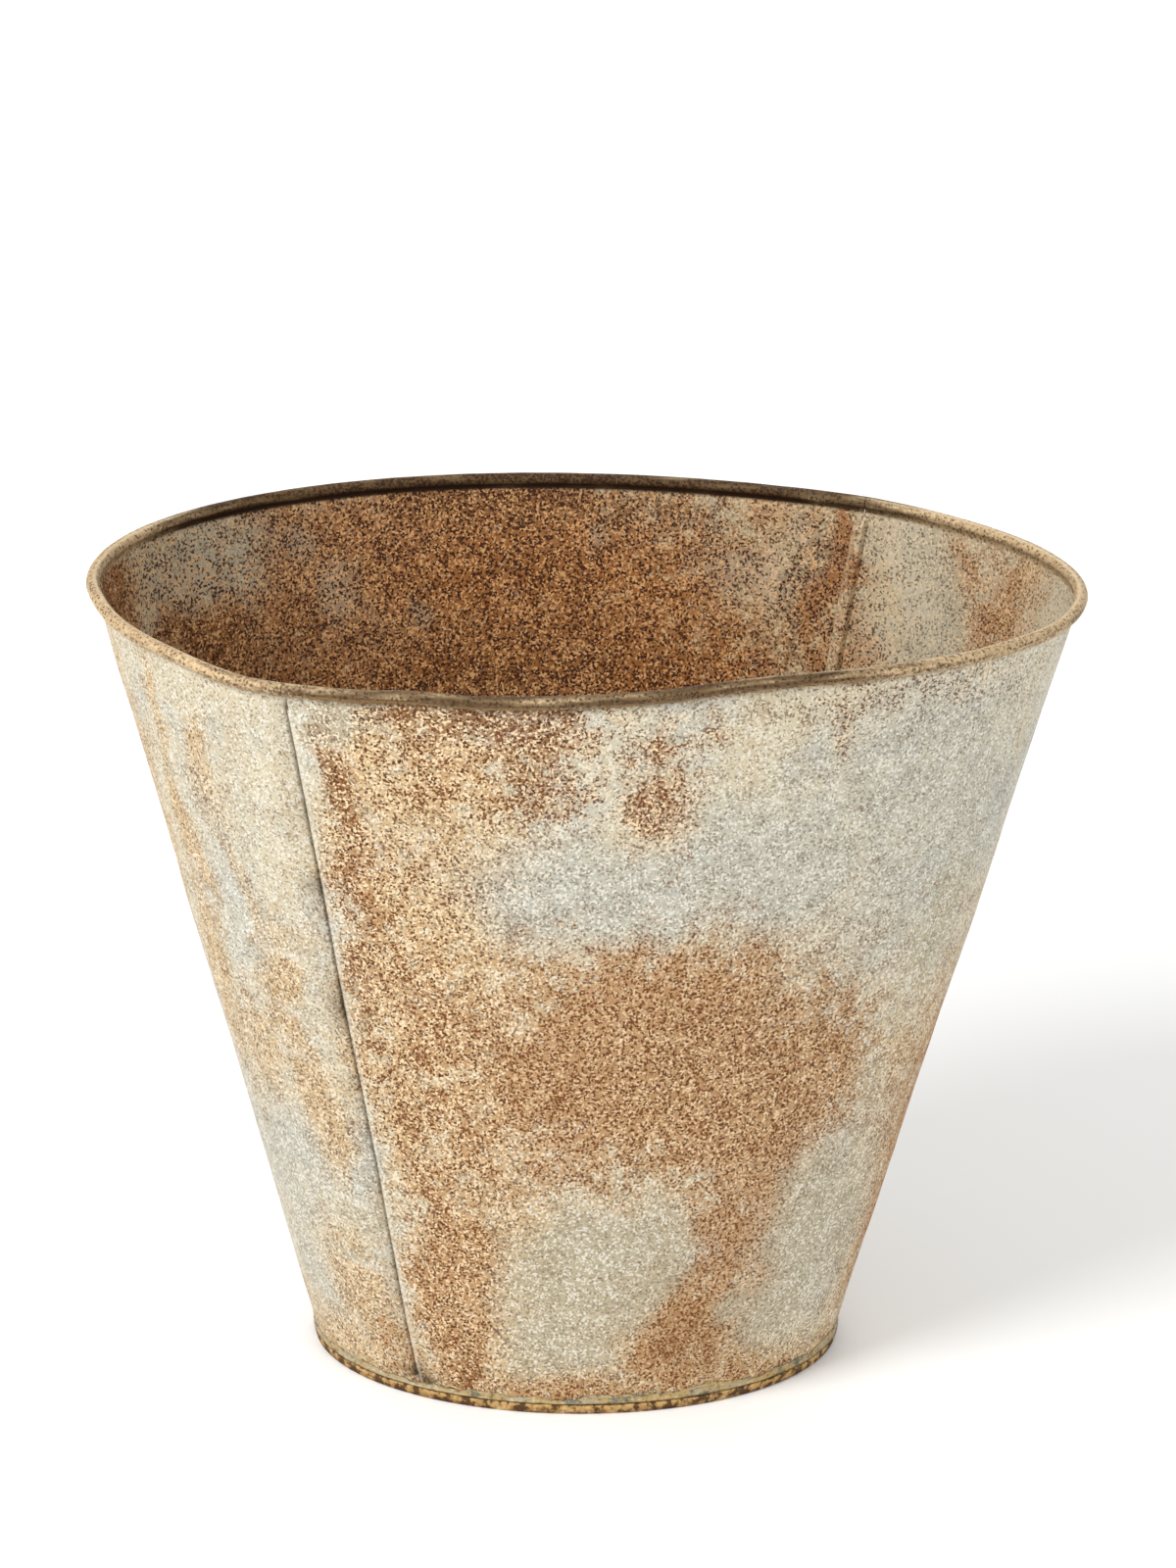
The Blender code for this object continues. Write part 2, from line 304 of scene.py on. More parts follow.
INSIDE_STAINS = {
    "umber": (
        (165, 0.80, 24, 0.09, 0.7),
        (176, 0.92, 8, 0.10, 0.7),
        (59, 0.90, 2.5, 0.14, 0.6),
        (90, 0.97, 30, 0.02, 0.5),
        (110, 0.72, 30, 0.06, 0.4),
    ),
    "rust": (
        (103, 0.90, 34, 0.14, 1.0),
        (100, 0.70, 46, 0.18, 1.0),
        (130, 0.84, 10, 0.22, 0.9),
        (55, 0.90, 2.4, 0.20, 0.85),
        (150, 0.80, 24, 0.10, 0.9),
        (172, 0.95, 10, 0.06, 0.8),
        (17, 0.92, 3, 0.07, 0.55),
        (29, 0.86, 3, 0.09, 0.45),
        (50, 0.82, 5, 0.09, 0.6),
        (60, 0.40, 50, 0.22, 0.8),
        (220, 0.55, 46, 0.28, 0.9),
        (300, 0.45, 42, 0.30, 0.8),
        (180, 0.18, 180, 0.14, 0.9),
    ),
    "ochre": (
        (95, 0.86, 18, 0.08, 1.0),
        (112, 0.76, 24, 0.04, 0.9),
        (78, 0.78, 14, 0.13, 0.9),
        (23, 0.92, 9, 0.10, 0.6),
        (33, 0.93, 2.5, 0.14, 0.6),
        (66, 0.90, 8, 0.16, 0.5),
        (150, 0.86, 10, 0.12, 0.6),
        (174, 0.92, 9, 0.12, 0.7),
        (230, 0.66, 30, 0.12, 0.7),
        (310, 0.56, 24, 0.16, 0.7),
    ),
    "blue": (
        (145, 0.95, 14, 0.06, 1.0),
        (39.5, 0.91, 6, 0.14, 1.0),
        (70, 0.90, 5, 0.05, 0.6),
        (87, 0.943, 2.5, 0.02, 0.8),
        (112, 0.845, 2.2, 0.022, 0.9),
        (122, 0.88, 3.4, 0.035, 0.9),
        (127, 0.935, 2.2, 0.03, 0.8),
        (345, 0.84, 20, 0.10, 0.7),
        (260, 0.90, 24, 0.08, 0.7),
    ),
    # The pale ovals at the right end, from 350 to 62 degrees, are partly pale zinc and partly painted light
    # on the inside wall that faces the key lamp.
    "pale": (
        (8, 0.93, 8, 0.10, 0.9),
        (62, 0.92, 5, 0.10, 0.4),
        (44, 0.91, 7, 0.14, 0.5),
        (16, 0.93, 6, 0.10, 0.5),
        (350, 0.60, 16, 0.14, 0.6),
    ),
    "pits": (
        (105, 0.88, 36, 0.16, 1.0),
        (100, 0.68, 48, 0.18, 1.0),
        (150, 0.84, 26, 0.16, 0.9),
        (70, 0.86, 15, 0.20, 0.5),
        (50, 0.86, 7, 0.12, 0.5),
        (26, 0.88, 10, 0.12, 0.4),
        (220, 0.50, 60, 0.36, 0.8),
        (310, 0.46, 60, 0.32, 0.8),
    ),
}


# --- Shape of the wall, for arrays of angles in radians and shares of the height ----------------------


def vectors(x, y, z):
    """One array of vectors from three arrays of coordinates."""
    return np.stack(np.broadcast_arrays(x, y, z), axis=-1)


def unit(v):
    """Vectors of the same direction and length one."""
    return v / np.linalg.norm(v, axis=-1, keepdims=True)


def around(angle, centre):
    """The signed turn from a centre angle, between -pi and pi."""
    return (angle - centre + math.pi) % math.tau - math.pi


def smooth(value, start, end):
    """0 before start, 1 after end, and an even curve between them."""
    share = np.clip((value - start) / (end - start), 0, 1)
    return share * share * (3 - 2 * share)


def bell(value, centre, half_width):
    """1 at the centre, falling evenly on both sides."""
    return np.exp(-(((value - centre) / half_width) ** 2))


def rim_line(angle):
    """The wall at the rim: an oval with a soft corner at each seam, and bent up and down by use."""
    swell = 1 + SEAM_CORNER * sum(bell(around(angle, seam), 0, SEAM_CORNER_WIDTH) for seam in SEAMS)
    height = RIM_HEIGHT + RIM_SADDLE * np.sin(2 * angle)
    height = height + RIM_RIPPLE * np.cos(3 * angle) + RIM_FLUTTER * np.sin(4 * angle)
    for degrees, width, lift in RIM_BENDS:
        height = height + lift * bell(around(angle, math.radians(degrees)), 0, math.radians(width))
    return vectors(RIM_HALF_LENGTH * swell * np.cos(angle), RIM_HALF_WIDTH * swell * np.sin(angle), height)


def base_line(angle):
    """The wall at the ground: a flat oval."""
    return vectors(BASE_HALF_LENGTH * np.cos(angle), BASE_HALF_WIDTH * np.sin(angle), 0 * angle)


def wall(angle, share):
    """A point of the wall, straight from the base line to the rim line."""
    return base_line(angle) + (rim_line(angle) - base_line(angle)) * share[..., None]


def across(angle, share):
    """The change of wall() with the angle."""
    return (wall(angle + SMALL_TURN, share) - wall(angle - SMALL_TURN, share)) / (2 * SMALL_TURN)


def axes(angle, share):
    """Unit vectors out of the wall and up along it."""
    along = unit(across(angle, share))
    out = unit(np.cross(along, rim_line(angle) - base_line(angle)))
    return out, np.cross(out, along)


def turned(seam, along, share):
    """The angle at a distance along the wall from a seam."""
    return seam + along / np.linalg.norm(across(seam + 0 * share, share), axis=-1)


def fractal(points, size, octaves, shift=0.0):
    """Cloudy noise about zero, with features of a size in metres."""
    scaled = points.reshape(-1, 3) / size + shift
    values = [noise.fractal(Vector(p), 1.0, 2.0, octaves) for p in scaled.tolist()]
    return np.array(values).reshape(points.shape[:-1])


def relief(points, share):
    """How far the wall's dents stand out of its true surface."""
    dents = LONG_DENT * fractal(points, LONG_DENT_SIZE, 2)
    dents = dents + SMALL_DENT * fractal(points, SMALL_DENT_SIZE, 2, 7.0)
    return dents * smooth(share, 0.03, 0.12) * (1 - smooth(share, 0.90, 0.98))


# --- Meshes -------------------------------------------------------------------------------------------


def arc(centre, radius, start, end, steps):
    """Points of an arc as an array of (x, y), both ends included."""
    turns = np.linspace(start, end, steps + 1)
    return np.array(centre) + radius * np.stack([np.cos(turns), np.sin(turns)], axis=-1)


def grid_mesh(name, points, closed=False, keep=None, values=None):
    """A skin over an array of columns by rows of points, with values by name as attributes."""
    columns, rows = points.shape[:2]
    index = np.arange(columns * rows).reshape(columns, rows)
    if closed:
        index = np.concatenate([index, index[:1]])
    faces = np.stack([index[:-1, :-1], index[1:, :-1], index[1:, 1:], index[:-1, 1:]], axis=-1)
    faces = faces.reshape(-1, 4) if keep is None else faces[keep]
    used, faces = np.unique(faces, return_inverse=True)
    mesh = bpy.data.meshes.new(name)
    mesh.from_pydata(points.reshape(-1, 3)[used].tolist(), [], faces.reshape(-1, 4).tolist())
    for key, value in (values or {}).items():
        attribute = mesh.attributes.new(key, "FLOAT", "POINT")
        spread = np.broadcast_to(value, points.shape[:2]).reshape(-1)
        attribute.data.foreach_set("value", spread[used])
    mesh.shade_smooth()
    return mesh


def close_holes(mesh, reach=1.0):
    """Joins points that coincide and closes the holes that lie within reach of the bucket's middle line."""
    bm = bmesh.new()
    bm.from_mesh(mesh)
    bmesh.ops.remove_doubles(bm, verts=bm.verts, dist=SAME_PLACE)
    ring = [edge for edge in bm.edges if edge.is_boundary and edge.verts[0].co.xy.length < reach]
    bmesh.ops.holes_fill(bm, edges=ring)
    bmesh.ops.recalc_face_normals(bm, faces=bm.faces)
    bm.to_mesh(mesh)
    bm.free()
    mesh.shade_smooth()


def add_piece(name, mesh, replaced, slot, *materials):
    """A finished piece that stands for a CAD node and rides on the bucket."""
    piece = bpy.data.objects.new(name, mesh)
    bpy.context.scene.collection.objects.link(piece)
    for finish in materials:
        mesh.materials.append(finish)
    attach(piece, "root")
    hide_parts(replaced)
    return piece


def make_sheet(piece):
    """Gives a skin the thickness of the sheet, with the second material on its inner side."""
    solid = piece.modifiers.new("sheet thickness", "SOLIDIFY")
    solid.thickness = SHEET
    solid.offset = 0
    solid.use_even_offset = True
    solid.use_quality_normals = True
    solid.material_offset = 1
    solid.material_offset_rim = 1


def stained(stains, prefix, angle, share, points):
    """Strength of each kind of stain at each point, by attribute name."""
    degrees = np.degrees(angle) + WANDER_TURN * fractal(points, WANDER_SIZE, 4, 3.0)
    height = share + WANDER_RISE * fractal(points, WANDER_SIZE, 4, 11.0)
    values = {}
    for kind, ovals in stains.items():
        total = np.zeros(share.shape)
        for centre, level, half_width, half_height, strength in ovals:
            turn = np.degrees(around(np.radians(degrees), math.radians(centre)))
            reach = np.hypot(turn / half_width, (height - level) / half_height)
            total = np.maximum(total, strength * np.clip(1.5 - reach, 0, 1))
        values[f"{prefix} {kind}"] = total
    return values


def hook_columns(seam, profile):
    """Columns of a seam's hook at distances along and depths from a seam."""
    return [(seam, along, depth, 1) for along, depth in profile]


def panel_columns(first_seam):
    """Columns of a panel: seam angle, distance along, depth and whether it is a hook, as four arrays."""
    last_seam = first_seam + math.pi
    leaf = [(along, -2 * PITCH) for along in np.linspace(HOOK - LEAF_GAP, 0, LEAF_STEPS + 1)[:-1]]
    outer_fold = arc((0, -PITCH), PITCH, -math.pi / 2, -1.5 * math.pi, FOLD_STEPS)
    inner_fold = arc((HOOK, -2 * PITCH), PITCH, -math.pi / 2, math.pi / 2, FOLD_STEPS)
    back_leaf = [(along, -PITCH) for along in np.linspace(HOOK, LEAF_GAP, LEAF_STEPS + 1)[1:]]
    body = np.linspace(first_seam, last_seam, STATIONS // 2 + 1)[2:-6]
    fall = np.linspace(0, 1, GROOVE_STEPS + 1)
    groove = -(GROOVE_SHOULDER + (GROOVE_FLOOR - GROOVE_SHOULDER) * fall)
    slope = -3 * PITCH * (1 - np.cos(math.pi * fall)) / 2

    columns = hook_columns(first_seam, leaf) + hook_columns(first_seam, outer_fold)
    columns += [(first_seam, along, 0, 0) for along in FOLD_BACK]
    columns += [(angle, 0, 0, 0) for angle in body]
    columns += [(last_seam, along, depth, 0) for along, depth in zip(groove, slope)]
    columns.append((last_seam, -GAP / 2, -3 * PITCH, 0))
    columns += hook_columns(last_seam, inner_fold) + hook_columns(last_seam, back_leaf)
    return np.array(columns).T


def spaced(start, end, step):
    """Numbers from start to end, about a step apart."""
    return np.linspace(start, end, max(2, round((end - start) / step) + 1))


def wall_shares(seam):
    """Shares of the height where the rows of the wall stand, in columns of a given angle."""
    top = rim_line(seam)[..., 2]
    length = np.linalg.norm(rim_line(seam) - base_line(seam), axis=-1)
    low = [height / top for height in spaced(WALL_START, SEAM_FOOT, FINE_ROW_STEP)]
    high = [1 - below / length for below in spaced(NECK, SEAM_TOP, FINE_ROW_STEP)[::-1]]
    steps = round(RIM_HEIGHT / ROW_STEP)
    middle = [low[-1] + (high[0] - low[-1]) * step / steps for step in range(1, steps)]
    return np.stack(low + middle + high, axis=-1), len(low), len(low) + len(middle)


def along_wall(angle, share, seam):
    """Distance from a seam along the wall."""
    return around(angle, seam) * np.linalg.norm(across(angle, share), axis=-1)


def seam_soiling_and_shade_outside(along, share, points):
    """Soiling and painted shade in a seam's groove, a faint smudge beside it, dark spots on it and a stain
    at its foot.
    """
    height = share * RIM_HEIGHT
    depth = 0.3 + 0.6 * smooth(share, 0.2, 0.55)
    broken = 1 + 1.6 * fractal(points, 0.006, 3, 2.0)
    # A dark line in the groove: painted shade with soiling, stronger higher up.
    soiled_and_shaded = depth * bell(along, -0.0012, 0.0007)
    soiled_and_shaded = np.maximum(soiled_and_shaded, 0.25 * bell(along, -0.0036, 0.0022))
    soiled_and_shaded = np.maximum(soiled_and_shaded, broken * bell(along, 0, 0.009) * bell(height, 0.009, 0.006))
    for level, half_height, strength in SEAM_SPOTS:
        spot = bell(along, -0.0017, 0.0022) * bell(share, level, half_height)
        soiled_and_shaded = np.maximum(soiled_and_shaded, strength * spot)
    return soiled_and_shaded


def seam_lines_inside(along):
    """Two thin lines, one at each side of a seam's strip."""
    return np.maximum(0.12 * bell(along, 0.0040, 0.0007), 0.10 * bell(along, -0.0024, 0.0007))


def crease_line(angle, share, points):
    """A thin dark line along the crease inside the back wall, in its upper part only."""
    crease = bell(np.degrees(angle), INSIDE_CREASE, 0.25) * smooth(share, 0.68, 0.80)
    return crease * (0.6 + fractal(points, 0.006, 2, 4.0))


def soiling_and_shade_of(angle, share, points):
    """Darkening along the seams, under the rim and towards the foot, partly painted shade: one array for
    outside, one for inside.
    """
    height = share * RIM_HEIGHT
    below = (1 - share) * RIM_HEIGHT
    patchy = 0.75 + 0.6 * fractal(points, 0.03, 3, 5.0)
    # Outside: darker towards the foot, and soiling with painted shadow in a band just under the bead.
    outside = 0.45 * (1 - smooth(height, 0.004, 0.010)) + 0.7 * (1 - smooth(below, 0.003, 0.0055))
    # Inside: painted shadow with soiling just under the bead, strongest along the back, and darker towards
    # the floor.
    inside = (0.2 + 0.5 * back_of(angle)) * (1 - smooth(below, 0.0005, 0.0035))
    inside += 0.4 * (1 - smooth(height, 0.006, 0.04))
    # Along the seams: soiling, with painted shade in the grooves.
    for seam in SEAMS:
        along = along_wall(angle, share, seam)
        outside = np.maximum(outside, seam_soiling_and_shade_outside(along, share, points))
        inside = np.maximum(inside, seam_lines_inside(along))
    inside = np.maximum(inside, crease_line(angle, share, points))
    return np.clip(outside * patchy, 0, 1), np.clip(inside * patchy, 0, 1)


def scratches_of(angle, share, points):
    """Pale scratches, wavy and broken."""
    level_there = share + 0.006 * fractal(points, 0.02, 3, 12.0)
    broken = np.clip(0.5 + 1.2 * fractal(points, 0.006, 3, 6.0), 0, 1)
    scratches = np.zeros(share.shape)
    for degrees, level, half_width in SCRATCHES:
        turn = np.degrees(around(angle, math.radians(degrees)))
        line = bell(level_there, level, 0.005) * bell(turn, 0, half_width)
        scratches = np.maximum(scratches, 0.8 * line * broken)
    return scratches


def worn_of(angle, share, points):
    """Bright worn metal on the folds beside the seams and in scratches: an array for each side."""
    outside = scratches_of(angle, share, points)
    inside = np.zeros(share.shape)
    for seam in SEAMS:
        along = along_wall(angle, share, seam)
        outside = np.maximum(outside, 0.5 * bell(along, 0.0004, 0.0005))
        inside = np.maximum(inside, 0.25 * bell(along, 0.0026, 0.0006))
    return outside, inside


def back_of(angle):
    """One along the back of the rim, nothing at its ends and front."""
    return np.exp(-((around(angle, BACK_MIDDLE) / BACK_REACH) ** 6))


def bead_shade(angle):
    """How dark the bead is painted: least at the ends of the oval, most along the back, where it is darker
    rust and painted shade of its shaded inner side; darker along the front too.
    """
    front = np.exp(-((around(angle, FRONT_MIDDLE) / FRONT_REACH) ** 4))
    return 0.16 + 0.86 * back_of(angle) + 0.62 * front


def bead_grain(angle, turn):
    """Streaks that run lengthwise along the bead, about zero."""
    drawn_out = rim_line(angle)
    drawn_out[..., 2] += 0.16 * turn
    return fractal(drawn_out, 0.024, 5, 5.0)


def foot_points(angle, out, height):
    """Points out from the wall, level, at a height above the ground."""
    level = unit(np.cross(across(angle, 0 * angle), UP))
    return wall(angle, height / rim_line(angle)[..., 2]) + level * (out + 0 * angle)[..., None]


def curl_points(angle, x, y):
    """Points about the middle of the rim's wire, x out of the wall and y up along it."""
    out, up = axes(angle, 1 + 0 * angle)
    uneven = 1 + CURL_UNEVENNESS * fractal(rim_line(angle), 0.012, 2, 2.0)
    centre = rim_line(angle) + out * BEAD_OFFSET
    return centre + out * (x * uneven)[..., None] + up * (y * uneven)[..., None]


def panel_body(seam, along, depth, shares):
    """The wall between hem and curl, folded into the lock seams where they are closed, and its angles."""
    angle = turned(seam, along, shares)
    out, _ = axes(angle, shares)
    middle = wall(angle, shares)
    height = shares * rim_line(angle)[..., 2]
    below = (1 - shares) * np.linalg.norm(rim_line(angle) - base_line(angle), axis=-1)
    folded = smooth(height, SEAM_FOOT - FOOT_FADE, SEAM_FOOT - STEP_BACK)
    folded = folded * smooth(below, SEAM_TOP - TOP_FADE, SEAM_TOP - STEP_BACK)
    return middle + out * (depth * folded + relief(middle, shares))[..., None], angle


def panel_values(angles, levels, curl_row):
    """All that the materials need to know at each point of a panel, by attribute name."""
    flat = wall(angles, levels)
    row = np.arange(angles.shape[1])
    turn = np.clip(row - curl_row, 0, CURL_STEPS) / CURL_STEPS
    values = stained(OUTSIDE_STAINS, "outside", angles, levels, flat)
    values |= stained(INSIDE_STAINS, "inside", angles, levels, flat)
    values["outside grime"], values["inside grime"] = soiling_and_shade_of(angles, levels, flat)
    values["outside worn"], values["inside worn"] = worn_of(angles, levels, flat)
    values["bead"] = (row >= curl_row - 1) * 1.0
    values["curl"] = turn
    values["bead shade"] = bead_shade(angles)
    values["bead grain"] = bead_grain(angles, turn)
    return values


def make_panel(name, node, first_seam, slot, outside, inside):
    """Half of the wall: hem, body with its hooks in both lock seams, and the curl round the rim's wire."""
    seam, along, depth, is_hook = (column[:, None] for column in panel_columns(first_seam))
    shares, foot_rows, top_rows = wall_shares(seam[:, 0])
    body, angle = panel_body(seam, along, depth, shares)

    hem_fold = arc((HEM_PITCH / 2, HEM_BOTTOM), HEM_PITCH / 2, 0, -math.pi, FOLD_STEPS)
    hem = np.concatenate([[(HEM_PITCH, HEM_TOP)], hem_fold])
    foot_angle = turned(seam, along, np.zeros((len(seam), len(hem))))
    foot = foot_points(foot_angle, hem[:, 0], hem[:, 1])

    curl = arc((0, 0), CURL_RADIUS, CURL_START, CURL_END, CURL_STEPS)
    rim_angle = turned(seam, along, np.ones((len(seam), len(curl))))
    rim = curl_points(rim_angle, curl[:, 0], curl[:, 1])

    points = np.concatenate([foot, body, rim], axis=1)
    angles = np.concatenate([foot_angle, angle, rim_angle], axis=1)
    levels = np.concatenate([0 * foot_angle, shares, 1 + 0 * rim_angle], axis=1)
    values = panel_values(angles, levels, len(hem) + shares.shape[1])

    # The hooks are there between the ends of the seams only.
    row = np.arange(points.shape[1] - 1)
    in_seam = (row >= len(hem) + foot_rows - 1) & (row < len(hem) + top_rows)
    hook_face = (is_hook[:-1] + is_hook[1:]) > 0
    mesh = grid_mesh(name, points, keep=~hook_face | in_seam, values=values)
    mesh.set_sharp_from_angle(angle=SHARP_TURN)
    make_sheet(add_piece(name, mesh, node, slot, outside, inside))


def make_rim_wire(finish):
    """Round wire inside the curl, almost a full turn, with its two ends at the back seam."""
    reach = math.pi - WIRE_END_TURN
    angle = np.linspace(SEAM_ANGLE - reach, SEAM_ANGLE + reach, STATIONS)[:, None]
    section = arc((0, 0), WIRE_RADIUS, 0, math.tau, WIRE_SIDES)[:-1]
    out, up = axes(angle, 1 + 0 * angle)
    centre = rim_line(angle) + out * BEAD_OFFSET
    points = centre + out * section[None, :, :1] + up * section[None, :, 1:]
    points = np.concatenate([points, points[:, :1]], axis=1)
    mesh = grid_mesh("rim_wire_bar", points)
    close_holes(mesh)
    add_piece("rim_wire_bar", mesh, "rim_wire", "wire_steel", finish)


def channel_profile():
    """The base pan's edge: knuckle, inner leg, bottom and lip, as distances out of the wall and heights."""
    knuckle = arc((-PITCH - KNUCKLE, BASE_DEPTH - KNUCKLE), KNUCKLE, math.pi / 2, 0, FOLD_STEPS)
    low = SHEET / 2 + CORNER
    inner = arc((-PITCH + CORNER, low), CORNER, math.pi, 1.5 * math.pi, CORNER_STEPS)
    outer = arc((LIP_OUT - CORNER, low), CORNER, -math.pi / 2, 0, CORNER_STEPS)
    lip = arc((LIP_OUT - CORNER, LIP_TOP - CORNER), CORNER, 0, math.pi / 2, CORNER_STEPS)
    edge = [(SHEET / 2 + GAP, LIP_TOP)]
    return np.concatenate([knuckle, inner, outer, lip, edge])


def make_base_pan(finish):
    """Base pan: a slightly sagging floor, a knuckle, and the channel whose lip is crimped unevenly."""
    profile = channel_profile()
    angle = np.linspace(0, math.tau, BASE_STATIONS, endpoint=False)[:, None] + 0 * profile[:, 0]
    out = profile[:, 0] + 0 * angle
    height = profile[:, 1] + 0 * angle
    plain = foot_points(angle, out, height)
    is_lip = smooth(out, 0, LIP_OUT * 0.8) * smooth(height, 0.0015, 0.0036)
    out = out + is_lip * LIP_CRIMP * fractal(plain, 0.009, 3, 4.0)
    height = height + is_lip * LIP_WAVE * fractal(plain, 0.014, 3, 9.0)
    channel = foot_points(angle, out, height)

    distance = np.linspace(0, 1, FLOOR_RINGS + 1)[:-1]
    middle = np.array((0, 0, BASE_DEPTH))
    floor = middle + (channel[:, :1] - middle) * distance[None, :, None]
    floor[..., 2] += (1 - distance**6) * (FLOOR_WAVE * fractal(floor, 0.05, 2) - FLOOR_SAG)

    points = np.concatenate([floor[:, 1:], channel], axis=1)
    worn = np.concatenate([0 * floor[:, 1:, 2], is_lip * smooth(height, 0.0024, 0.0034)], axis=1)
    mesh = grid_mesh("base_pan_sheet", points, closed=True, values={"worn edge": worn})
    close_holes(mesh, FLOOR_HOLE)
    make_sheet(add_piece("base_pan_sheet", mesh, "base_pan", "rusted_base", finish, finish))


def make_base_solder(finish):
    """Solder smeared over the joint: thick against the lip, ragged and thin where it runs up the wall."""
    angle = np.linspace(0, math.tau, SOLDER_STATIONS, endpoint=False)[:, None]
    step = np.linspace(0, 1, SOLDER_STEPS + 1)
    at_lip = foot_points(angle, 0 * angle, 0 * angle + LIP_TOP)
    ragged = fractal(at_lip, 0.011, 4, 6.0) + 0.5 * fractal(at_lip, 0.05, 2, 8.0)
    foot = LIP_TOP + SHEET / 2 + GAP + SOLDER_LIFT
    height = foot + (SOLDER_TOP + SOLDER_RAGGED * ragged - foot) * step
    angle = angle + 0 * height
    plain = foot_points(angle, 0 * height, height)
    lumps = SOLDER_LUMPS * fractal(plain, 0.004, 3, 1.0)
    crest = SOLDER_CREST * bell(step, 0.86, 0.1)
    thick = (LIP_OUT - SHEET / 2 - GAP) * (1 - step) ** 1.6 + SOLDER_EDGE
    against_wall = SHEET / 2 + SOLDER_CLEARANCE
    front = foot_points(angle, against_wall + (thick + crest + lumps) * (1 - step**8), height)
    back = foot_points(angle, against_wall + 0 * height, height)
    points = np.concatenate([back[:, :1], front, back[:, -2::-1]], axis=1)
    rise = np.concatenate([[0], step, step[-2::-1]])
    mesh = grid_mesh("base_solder_line", points, closed=True, values={"rise": rise})
    add_piece("base_solder_line", mesh, "base_solder", "dull_solder", finish)


# --- Materials ----------------------------------------------------------------------------------------

STUDIO_LIGHT = 1.22
DULL_SPECULAR = 0.3


def rgb(red, green, blue):
    """A paint colour from the 0 to 255 screen values that it shows under the studio's bright light."""
    screen = np.array((red, green, blue)) / 255
    linear = np.where(screen <= 0.04045, screen / 12.92, ((screen + 0.055) / 1.055) ** 2.4)
    return (*(linear / STUDIO_LIGHT).tolist(), 1.0)


class Finish:
    """A material, with short calls that add nodes. A value is a number, a colour or a node's output."""

    def __init__(self, name):
        self.material = bpy.data.materials.new(name)
        self.material.use_nodes = True
        self.tree = self.material.node_tree
        self.shader = self.tree.nodes["Principled BSDF"]
        self.place = self.node("ShaderNodeTexCoord", {}).outputs["Object"]

    def feed(self, socket, value):
        if isinstance(value, bpy.types.NodeSocket):
            self.tree.links.new(value, socket)
        else:
            socket.default_value = value

    def node(self, kind, inputs, **settings):
        made = self.tree.nodes.new(kind)
        for key, value in settings.items():
            setattr(made, key, value)
        for socket, value in inputs.items():
            self.feed(made.inputs[socket], value)
        return made

    def attribute(self, name):
        return self.node("ShaderNodeAttribute", {}, attribute_name=name).outputs["Fac"]

    def math(self, operation, a, b):
        return self.node("ShaderNodeMath", {0: a, 1: b}, operation=operation).outputs[0]

    def moved(self, shift, stretch):
        """The place on the object, shifted and stretched, so that no two textures coincide."""
        inputs = {"Vector": self.place, "Location": (shift, shift, shift), "Scale": stretch}
        return self.node("ShaderNodeMapping", inputs).outputs[0]

    def noise(self, scale, detail, roughness, stretch=(1, 1, 1), shift=0.0):
        """Cloudy noise between 0 and 1."""
        inputs = {"Vector": self.moved(shift, stretch), "Scale": scale}
        inputs |= {"Detail": detail, "Roughness": roughness}
        return self.node("ShaderNodeTexNoise", inputs).outputs["Fac"]

    def cells(self, scale, shift=0.0):
        """Distance from the middle of the nearest of many scattered cells."""
        inputs = {"Vector": self.moved(shift, (1, 1, 1)), "Scale": scale}
        return self.node("ShaderNodeTexVoronoi", inputs).outputs["Distance"]

    def band(self, value, start, end, low=0.0, high=1.0):
        """Goes smoothly from low at start to high at end."""
        inputs = {"Value": value, "From Min": start, "From Max": end, "To Min": low, "To Max": high}
        return self.node("ShaderNodeMapRange", inputs, interpolation_type="SMOOTHSTEP").outputs[0]

    def mix(self, factor, a, b):
        made = self.node("ShaderNodeMix", {}, data_type="RGBA")
        self.feed(made.inputs[0], factor)
        self.feed(made.inputs[6], a)
        self.feed(made.inputs[7], b)
        return made.outputs[2]

    def value_mix(self, factor, a, b):
        made = self.node("ShaderNodeMix", {}, data_type="FLOAT")
        self.feed(made.inputs[0], factor)
        self.feed(made.inputs[2], a)
        self.feed(made.inputs[3], b)
        return made.outputs[0]

    def bump(self, height, distance, strength):
        inputs = {"Height": height, "Distance": distance, "Strength": strength}
        return self.node("ShaderNodeBump", inputs).outputs["Normal"]

    def finish(self, colour, roughness, metallic, normal):
        self.shader.inputs["Specular IOR Level"].default_value = DULL_SPECULAR
        self.feed(self.shader.inputs["Base Color"], colour)
        self.feed(self.shader.inputs["Roughness"], roughness)
        self.feed(self.shader.inputs["Metallic"], metallic)
        self.feed(self.shader.inputs["Normal"], normal)
        return self.material


